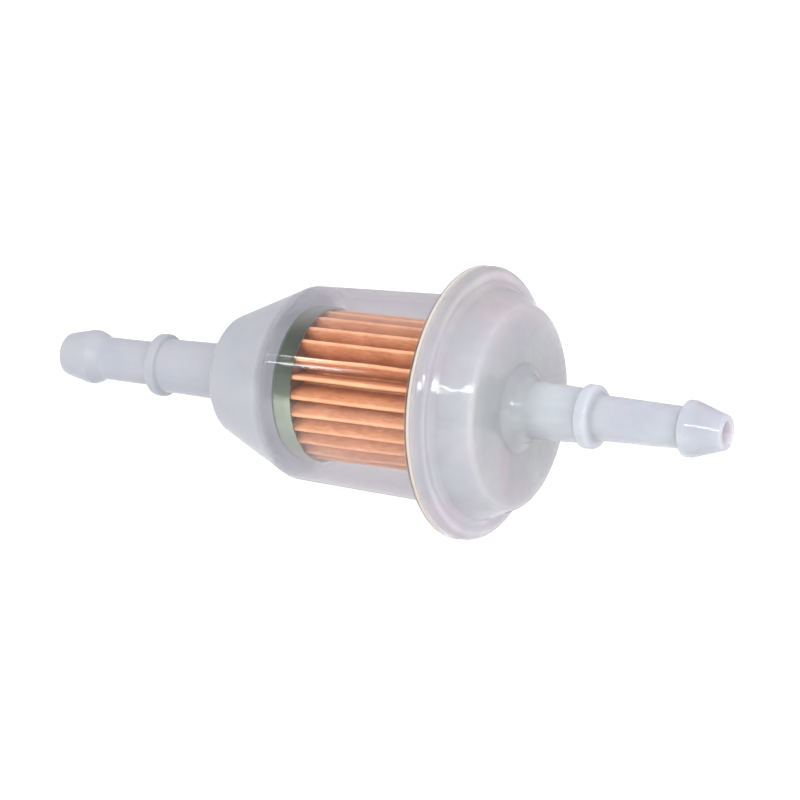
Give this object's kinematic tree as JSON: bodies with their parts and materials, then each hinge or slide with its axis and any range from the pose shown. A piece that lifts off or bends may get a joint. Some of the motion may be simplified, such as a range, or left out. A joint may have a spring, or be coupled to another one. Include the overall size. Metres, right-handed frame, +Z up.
{
  "type": "in-line fuel filter",
  "caption": "In-line fuel filter: pleated paper element in a clear plastic bowl, closed by a flanged milky cap, with a barbed and stepped hose stem at each end.",
  "frame": {"origin": "middle of the overall length, on the axis the housing is turned about", "axes": "+X along the axis with the fuel's flow, from the inlet stem on the bowl to the outlet stem on the cap; the housing is round about X, so +Y and +Z are free and +Z is up when it lies level"},
  "size_m": [0.1066, 0.0382, 0.0382],
  "materials": {
    "clear_nylon": "clear moulded nylon, slightly hazy and lilac-grey",
    "milky_nylon": "natural nylon, milky and translucent, glossy",
    "filter_paper": "resin-cured orange-brown pleated filter paper",
    "plated_steel": "drawn steel sheet, plated, faint green tint",
    "potting": "cured plastisol, satin",
    "seal_rubber": "nitrile rubber, matt"
  },
  "bodies": {
    "root": {"inlet_bowl": "clear_nylon", "outlet_cap": "milky_nylon", "filter_paper": "filter_paper", "closed_end_cup": "plated_steel", "closed_end_potting": "potting", "open_end_ring": "plated_steel", "open_end_potting": "potting", "seat_seal": "seal_rubber"}
  },
  "joints": []
}
